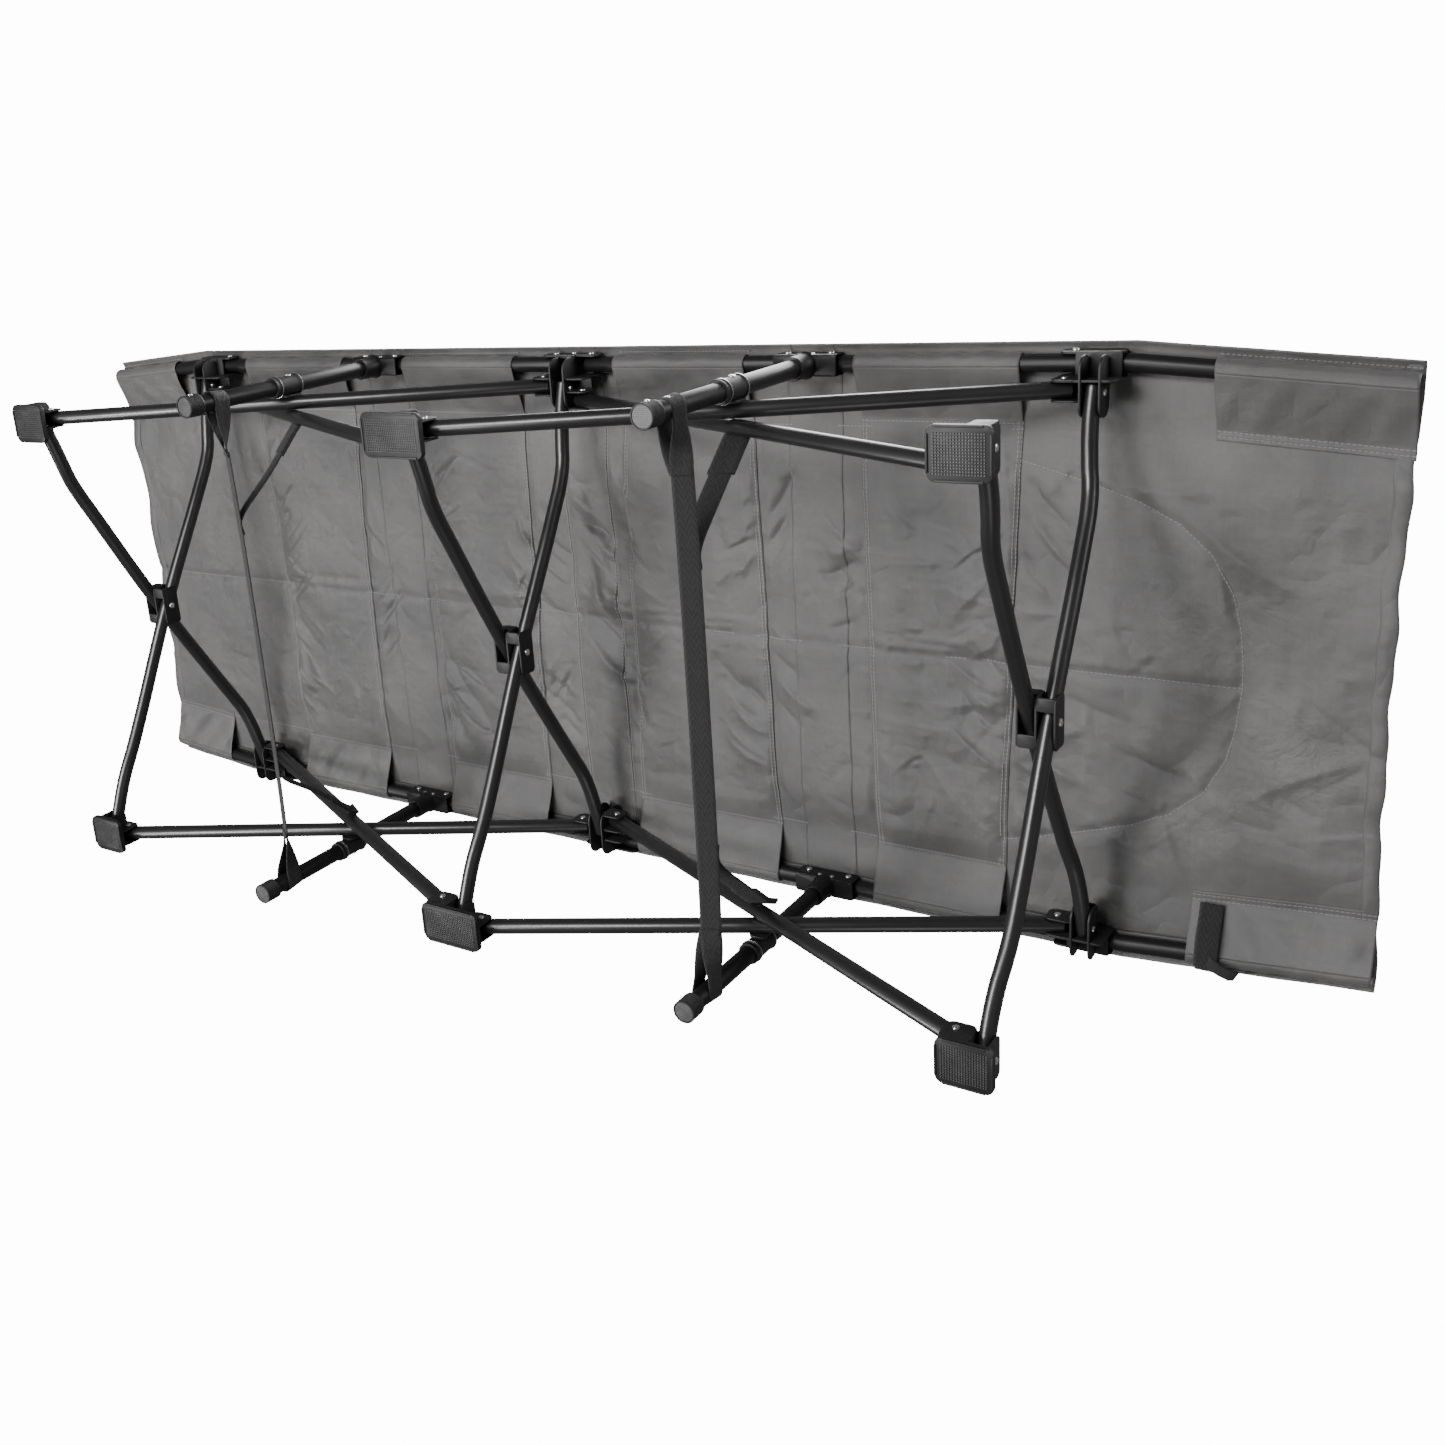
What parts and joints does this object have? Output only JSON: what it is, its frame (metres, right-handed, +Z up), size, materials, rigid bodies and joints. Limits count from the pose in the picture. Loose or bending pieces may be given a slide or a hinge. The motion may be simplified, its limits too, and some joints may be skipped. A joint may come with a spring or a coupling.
{
  "type": "folding camp bed",
  "caption": "Folding camp bed: grey fabric deck on black tube rails over scissor legs, with crossed side braces and straight posts with sliding collars.",
  "frame": {"origin": "on the floor under the middle of the open bed", "axes": "+X towards the head end, +Y to the left of someone lying face up on it, +Z up"},
  "size_m": [1.9026, 0.701, 0.38],
  "materials": {
    "satin_black_steel": "satin black powder coat on thin steel tube",
    "black_plastic": "moulded, lightly textured matte black",
    "black_rubber": "ribbed dull black foot cap",
    "grey_cloth": "mid grey woven polyester with a soft sheen",
    "black_webbing": "flat woven webbing"
  },
  "bodies": {
    "shoe_middle_right": {"shoe_middle_right": "black_plastic"},
    "shoe_middle_left": {"shoe_middle_left": "black_plastic"},
    "leg_a_middle": {"leg_middle_up_to_left": "satin_black_steel"},
    "leg_b_middle": {"leg_middle_up_to_right": "satin_black_steel"},
    "hub_middle": {"hub_middle": "black_plastic"},
    "bracket_middle_left": {"bracket_middle_left": "black_plastic"},
    "bracket_middle_right": {"bracket_middle_right": "black_plastic"},
    "brace_outer_foot_bay_left": {"brace_outer_foot_bay_left": "satin_black_steel"},
    "brace_inner_foot_bay_left": {"brace_inner_foot_bay_left": "satin_black_steel"},
    "brace_outer_head_bay_left": {"brace_outer_head_bay_left": "satin_black_steel"},
    "brace_inner_head_bay_left": {"brace_inner_head_bay_left": "satin_black_steel"},
    "shoe_foot_left": {"shoe_foot_left": "black_plastic"},
    "bracket_foot_left": {"bracket_foot_left": "black_plastic"},
    "shoe_head_left": {"shoe_head_left": "black_plastic"},
    "bracket_head_left": {"bracket_head_left": "black_plastic"},
    "rail_foot_bay_left": {"rail_foot_bay_left": "satin_black_steel"},
    "post_foot_bay_left": {"hinge_foot_bay_left": "black_plastic", "post_foot_bay_left": "satin_black_steel", "post_cap_foot_bay_left": "black_rubber"},
    "rail_foot_left": {"rail_foot_left": "satin_black_steel"},
    "collar_foot_bay_left": {"collar_foot_bay_left": "black_plastic"},
    "rail_head_bay_left": {"rail_head_bay_left": "satin_black_steel"},
    "post_head_bay_left": {"hinge_head_bay_left": "black_plastic", "post_head_bay_left": "satin_black_steel", "post_cap_head_bay_left": "black_rubber"},
    "rail_head_left": {"rail_head_left": "satin_black_steel"},
    "collar_head_bay_left": {"collar_head_bay_left": "black_plastic"},
    "brace_outer_foot_bay_right": {"brace_outer_foot_bay_right": "satin_black_steel"},
    "brace_inner_foot_bay_right": {"brace_inner_foot_bay_right": "satin_black_steel"},
    "brace_outer_head_bay_right": {"brace_outer_head_bay_right": "satin_black_steel"},
    "brace_inner_head_bay_right": {"brace_inner_head_bay_right": "satin_black_steel"},
    "shoe_foot_right": {"shoe_foot_right": "black_plastic"},
    "bracket_foot_right": {"bracket_foot_right": "black_plastic"},
    "shoe_head_right": {"shoe_head_right": "black_plastic"},
    "bracket_head_right": {"bracket_head_right": "black_plastic"},
    "rail_foot_bay_right": {"rail_foot_bay_right": "satin_black_steel", "deck_foot_bay": "grey_cloth"},
    "post_foot_bay_right": {"hinge_foot_bay_right": "black_plastic", "post_foot_bay_right": "satin_black_steel", "post_cap_foot_bay_right": "black_rubber", "strap_foot_bay": "black_webbing"},
    "rail_foot_right": {"rail_foot_right": "satin_black_steel", "deck_foot": "grey_cloth"},
    "collar_foot_bay_right": {"collar_foot_bay_right": "black_plastic"},
    "rail_head_bay_right": {"rail_head_bay_right": "satin_black_steel", "deck_head_bay": "grey_cloth"},
    "post_head_bay_right": {"hinge_head_bay_right": "black_plastic", "post_head_bay_right": "satin_black_steel", "post_cap_head_bay_right": "black_rubber", "strap_head_bay": "black_webbing"},
    "rail_head_right": {"rail_head_right": "satin_black_steel", "deck_head": "grey_cloth"},
    "collar_head_bay_right": {"collar_head_bay_right": "black_plastic"},
    "leg_a_foot": {"leg_foot_up_to_left": "satin_black_steel"},
    "leg_b_foot": {"leg_foot_up_to_right": "satin_black_steel"},
    "hub_foot": {"hub_foot": "black_plastic"},
    "leg_a_head": {"leg_head_up_to_left": "satin_black_steel"},
    "leg_b_head": {"leg_head_up_to_right": "satin_black_steel"},
    "hub_head": {"hub_head": "black_plastic"}
  },
  "joints": [
    {"name": "fold", "type": "hinge", "parent": "shoe_middle_right", "child": "leg_a_middle", "pos_m": [-0.0285, -0.31, 0.028], "axis": [1, 0, 0], "range_deg": [0, 57], "deforming": ["deck_foot", "deck_foot_bay", "deck_head_bay", "deck_head", "strap_foot_bay", "strap_head_bay"]},
    {"name": "hub_middle_turn", "type": "hinge", "parent": "leg_a_middle", "child": "hub_middle", "pos_m": [-0.0285, 0, 0.183], "axis": [1, 0, 0], "range_deg": [-57.5, 0]},
    {"name": "cross_middle", "type": "hinge", "parent": "leg_a_middle", "child": "leg_b_middle", "pos_m": [-0.0285, 0, 0.183], "axis": [1, 0, 0], "range_deg": [-114.5, 0]},
    {"name": "bracket_middle_left_turn", "type": "hinge", "parent": "leg_a_middle", "child": "bracket_middle_left", "pos_m": [-0.0285, 0.31, 0.338], "axis": [1, 0, 0], "range_deg": [-57.5, 0]},
    {"name": "bracket_middle_right_turn", "type": "hinge", "parent": "leg_b_middle", "child": "bracket_middle_right", "pos_m": [-0.0285, -0.31, 0.338], "axis": [1, 0, 0], "range_deg": [0, 57.5]},
    {"name": "shoe_middle_left_turn", "type": "hinge", "parent": "leg_b_middle", "child": "shoe_middle_left", "pos_m": [-0.0285, 0.31, 0.028], "axis": [1, 0, 0], "range_deg": [0, 57.5]},
    {"name": "brace_outer_foot_bay_left_turn", "type": "hinge", "parent": "bracket_middle_left", "child": "brace_outer_foot_bay_left", "pos_m": [-0.0585, 0.3125, 0.338], "axis": [0, 1, 0], "range_deg": [-57.5, 0]},
    {"name": "brace_inner_foot_bay_left_turn", "type": "hinge", "parent": "shoe_middle_left", "child": "brace_inner_foot_bay_left", "pos_m": [-0.0585, 0.2955, 0.028], "axis": [0, 1, 0], "range_deg": [0, 57.5]},
    {"name": "brace_inner_head_bay_left_turn", "type": "hinge", "parent": "bracket_middle_left", "child": "brace_inner_head_bay_left", "pos_m": [0.0015, 0.2955, 0.338], "axis": [0, 1, 0], "range_deg": [0, 57.5]},
    {"name": "brace_outer_head_bay_left_turn", "type": "hinge", "parent": "shoe_middle_left", "child": "brace_outer_head_bay_left", "pos_m": [0.0015, 0.3125, 0.028], "axis": [0, 1, 0], "range_deg": [-57.5, 0]},
    {"name": "shoe_foot_left_turn", "type": "hinge", "parent": "brace_outer_foot_bay_left", "child": "shoe_foot_left", "pos_m": [-0.6785, 0.3125, 0.028], "axis": [0, 1, 0], "range_deg": [0, 57.5]},
    {"name": "bracket_foot_left_turn", "type": "hinge", "parent": "brace_inner_foot_bay_left", "child": "bracket_foot_left", "pos_m": [-0.6785, 0.2955, 0.338], "axis": [0, 1, 0], "range_deg": [-57.5, 0]},
    {"name": "shoe_head_left_turn", "type": "hinge", "parent": "brace_inner_head_bay_left", "child": "shoe_head_left", "pos_m": [0.6215, 0.2955, 0.028], "axis": [0, 1, 0], "range_deg": [-57.5, 0]},
    {"name": "bracket_head_left_turn", "type": "hinge", "parent": "brace_outer_head_bay_left", "child": "bracket_head_left", "pos_m": [0.6215, 0.3125, 0.338], "axis": [0, 1, 0], "range_deg": [0, 57.5]},
    {"name": "rail_foot_bay_left_turn", "type": "hinge", "parent": "bracket_middle_left", "child": "rail_foot_bay_left", "pos_m": [-0.0565, 0.336, 0.367], "axis": [0, 1, 0], "range_deg": [-87.91, 0]},
    {"name": "post_foot_bay_left_turn", "type": "hinge", "parent": "rail_foot_bay_left", "child": "post_foot_bay_left", "pos_m": [-0.3405, 0.336, 0.367], "axis": [0, 1, 0], "range_deg": [0, 87.91]},
    {"name": "rail_foot_left_turn", "type": "hinge", "parent": "post_foot_bay_left", "child": "rail_foot_left", "pos_m": [-0.3965, 0.336, 0.367], "axis": [0, 1, 0], "range_deg": [0, 87.91]},
    {"name": "collar_foot_bay_left_slide", "type": "slide", "parent": "post_foot_bay_left", "child": "collar_foot_bay_left", "axis": [0, 0, 1], "range_m": [0, 0.0963]},
    {"name": "rail_head_bay_left_turn", "type": "hinge", "parent": "bracket_middle_left", "child": "rail_head_bay_left", "pos_m": [-0.0005, 0.336, 0.367], "axis": [0, 1, 0], "range_deg": [0, 87.91]},
    {"name": "post_head_bay_left_turn", "type": "hinge", "parent": "rail_head_bay_left", "child": "post_head_bay_left", "pos_m": [0.2835, 0.336, 0.367], "axis": [0, 1, 0], "range_deg": [-87.91, 0]},
    {"name": "rail_head_left_turn", "type": "hinge", "parent": "post_head_bay_left", "child": "rail_head_left", "pos_m": [0.3395, 0.336, 0.367], "axis": [0, 1, 0], "range_deg": [-87.91, 0]},
    {"name": "collar_head_bay_left_slide", "type": "slide", "parent": "post_head_bay_left", "child": "collar_head_bay_left", "axis": [0, 0, 1], "range_m": [0, 0.0963]},
    {"name": "brace_outer_foot_bay_right_turn", "type": "hinge", "parent": "bracket_middle_right", "child": "brace_outer_foot_bay_right", "pos_m": [-0.0585, -0.3125, 0.338], "axis": [0, 1, 0], "range_deg": [-57.5, 0]},
    {"name": "brace_inner_foot_bay_right_turn", "type": "hinge", "parent": "shoe_middle_right", "child": "brace_inner_foot_bay_right", "pos_m": [-0.0585, -0.2955, 0.028], "axis": [0, 1, 0], "range_deg": [0, 57.5]},
    {"name": "brace_inner_head_bay_right_turn", "type": "hinge", "parent": "bracket_middle_right", "child": "brace_inner_head_bay_right", "pos_m": [0.0015, -0.2955, 0.338], "axis": [0, 1, 0], "range_deg": [0, 57.5]},
    {"name": "brace_outer_head_bay_right_turn", "type": "hinge", "parent": "shoe_middle_right", "child": "brace_outer_head_bay_right", "pos_m": [0.0015, -0.3125, 0.028], "axis": [0, 1, 0], "range_deg": [-57.5, 0]},
    {"name": "shoe_foot_right_turn", "type": "hinge", "parent": "brace_outer_foot_bay_right", "child": "shoe_foot_right", "pos_m": [-0.6785, -0.3125, 0.028], "axis": [0, 1, 0], "range_deg": [0, 57.5]},
    {"name": "bracket_foot_right_turn", "type": "hinge", "parent": "brace_inner_foot_bay_right", "child": "bracket_foot_right", "pos_m": [-0.6785, -0.2955, 0.338], "axis": [0, 1, 0], "range_deg": [-57.5, 0]},
    {"name": "shoe_head_right_turn", "type": "hinge", "parent": "brace_inner_head_bay_right", "child": "shoe_head_right", "pos_m": [0.6215, -0.2955, 0.028], "axis": [0, 1, 0], "range_deg": [-57.5, 0]},
    {"name": "bracket_head_right_turn", "type": "hinge", "parent": "brace_outer_head_bay_right", "child": "bracket_head_right", "pos_m": [0.6215, -0.3125, 0.338], "axis": [0, 1, 0], "range_deg": [0, 57.5]},
    {"name": "rail_foot_bay_right_turn", "type": "hinge", "parent": "bracket_middle_right", "child": "rail_foot_bay_right", "pos_m": [-0.0565, -0.336, 0.367], "axis": [0, 1, 0], "range_deg": [-87.91, 0]},
    {"name": "post_foot_bay_right_turn", "type": "hinge", "parent": "rail_foot_bay_right", "child": "post_foot_bay_right", "pos_m": [-0.3405, -0.336, 0.367], "axis": [0, 1, 0], "range_deg": [0, 87.91]},
    {"name": "rail_foot_right_turn", "type": "hinge", "parent": "post_foot_bay_right", "child": "rail_foot_right", "pos_m": [-0.3965, -0.336, 0.367], "axis": [0, 1, 0], "range_deg": [0, 87.91]},
    {"name": "collar_foot_bay_right_slide", "type": "slide", "parent": "post_foot_bay_right", "child": "collar_foot_bay_right", "axis": [0, 0, 1], "range_m": [0, 0.0963]},
    {"name": "rail_head_bay_right_turn", "type": "hinge", "parent": "bracket_middle_right", "child": "rail_head_bay_right", "pos_m": [-0.0005, -0.336, 0.367], "axis": [0, 1, 0], "range_deg": [0, 87.91]},
    {"name": "post_head_bay_right_turn", "type": "hinge", "parent": "rail_head_bay_right", "child": "post_head_bay_right", "pos_m": [0.2835, -0.336, 0.367], "axis": [0, 1, 0], "range_deg": [-87.91, 0]},
    {"name": "rail_head_right_turn", "type": "hinge", "parent": "post_head_bay_right", "child": "rail_head_right", "pos_m": [0.3395, -0.336, 0.367], "axis": [0, 1, 0], "range_deg": [-87.91, 0]},
    {"name": "collar_head_bay_right_slide", "type": "slide", "parent": "post_head_bay_right", "child": "collar_head_bay_right", "axis": [0, 0, 1], "range_m": [0, 0.0963]},
    {"name": "leg_a_foot_turn", "type": "hinge", "parent": "shoe_foot_right", "child": "leg_a_foot", "pos_m": [-0.7085, -0.31, 0.028], "axis": [1, 0, 0], "range_deg": [0, 57.5]},
    {"name": "leg_b_foot_turn", "type": "hinge", "parent": "bracket_foot_right", "child": "leg_b_foot", "pos_m": [-0.7085, -0.31, 0.338], "axis": [1, 0, 0], "range_deg": [-57.5, 0]},
    {"name": "hub_foot_turn", "type": "hinge", "parent": "leg_a_foot", "child": "hub_foot", "pos_m": [-0.7085, 0, 0.183], "axis": [1, 0, 0], "range_deg": [-57.5, 0]},
    {"name": "leg_a_head_turn", "type": "hinge", "parent": "shoe_head_right", "child": "leg_a_head", "pos_m": [0.6515, -0.31, 0.028], "axis": [1, 0, 0], "range_deg": [0, 57.5]},
    {"name": "leg_b_head_turn", "type": "hinge", "parent": "bracket_head_right", "child": "leg_b_head", "pos_m": [0.6515, -0.31, 0.338], "axis": [1, 0, 0], "range_deg": [-57.5, 0]},
    {"name": "hub_head_turn", "type": "hinge", "parent": "leg_a_head", "child": "hub_head", "pos_m": [0.6515, 0, 0.183], "axis": [1, 0, 0], "range_deg": [-57.5, 0]}
  ],
  "couplings": [
    {"joint": "hub_middle_turn", "follows": "fold", "ratio": -1},
    {"joint": "cross_middle", "follows": "fold", "ratio": -2},
    {"joint": "bracket_middle_left_turn", "follows": "fold", "ratio": -1},
    {"joint": "bracket_middle_right_turn", "follows": "fold", "ratio": 1},
    {"joint": "shoe_middle_left_turn", "follows": "fold", "ratio": 1},
    {"joint": "brace_outer_foot_bay_left_turn", "follows": "fold", "ratio": -1},
    {"joint": "brace_inner_foot_bay_left_turn", "follows": "fold", "ratio": 1},
    {"joint": "brace_inner_head_bay_left_turn", "follows": "fold", "ratio": 1},
    {"joint": "brace_outer_head_bay_left_turn", "follows": "fold", "ratio": -1},
    {"joint": "shoe_foot_left_turn", "follows": "fold", "ratio": 1},
    {"joint": "bracket_foot_left_turn", "follows": "fold", "ratio": -1},
    {"joint": "shoe_head_left_turn", "follows": "fold", "ratio": -1},
    {"joint": "bracket_head_left_turn", "follows": "fold", "ratio": 1},
    {"joint": "rail_foot_bay_left_turn", "follows": "fold", "ratio": -1.5335},
    {"joint": "post_foot_bay_left_turn", "follows": "fold", "ratio": 1.5335},
    {"joint": "rail_foot_left_turn", "follows": "fold", "ratio": 1.5335},
    {"joint": "collar_foot_bay_left_slide", "follows": "fold", "m_per_rad": 0.094792},
    {"joint": "rail_head_bay_left_turn", "follows": "fold", "ratio": 1.5335},
    {"joint": "post_head_bay_left_turn", "follows": "fold", "ratio": -1.5335},
    {"joint": "rail_head_left_turn", "follows": "fold", "ratio": -1.5335},
    {"joint": "collar_head_bay_left_slide", "follows": "fold", "m_per_rad": 0.094792},
    {"joint": "brace_outer_foot_bay_right_turn", "follows": "fold", "ratio": -1},
    {"joint": "brace_inner_foot_bay_right_turn", "follows": "fold", "ratio": 1},
    {"joint": "brace_inner_head_bay_right_turn", "follows": "fold", "ratio": 1},
    {"joint": "brace_outer_head_bay_right_turn", "follows": "fold", "ratio": -1},
    {"joint": "shoe_foot_right_turn", "follows": "fold", "ratio": 1},
    {"joint": "bracket_foot_right_turn", "follows": "fold", "ratio": -1},
    {"joint": "shoe_head_right_turn", "follows": "fold", "ratio": -1},
    {"joint": "bracket_head_right_turn", "follows": "fold", "ratio": 1},
    {"joint": "rail_foot_bay_right_turn", "follows": "fold", "ratio": -1.5335},
    {"joint": "post_foot_bay_right_turn", "follows": "fold", "ratio": 1.5335},
    {"joint": "rail_foot_right_turn", "follows": "fold", "ratio": 1.5335},
    {"joint": "collar_foot_bay_right_slide", "follows": "fold", "m_per_rad": 0.094792},
    {"joint": "rail_head_bay_right_turn", "follows": "fold", "ratio": 1.5335},
    {"joint": "post_head_bay_right_turn", "follows": "fold", "ratio": -1.5335},
    {"joint": "rail_head_right_turn", "follows": "fold", "ratio": -1.5335},
    {"joint": "collar_head_bay_right_slide", "follows": "fold", "m_per_rad": 0.094792},
    {"joint": "leg_a_foot_turn", "follows": "fold", "ratio": 1},
    {"joint": "leg_b_foot_turn", "follows": "fold", "ratio": -1},
    {"joint": "hub_foot_turn", "follows": "fold", "ratio": -1},
    {"joint": "leg_a_head_turn", "follows": "fold", "ratio": 1},
    {"joint": "leg_b_head_turn", "follows": "fold", "ratio": -1},
    {"joint": "hub_head_turn", "follows": "fold", "ratio": -1}
  ]
}
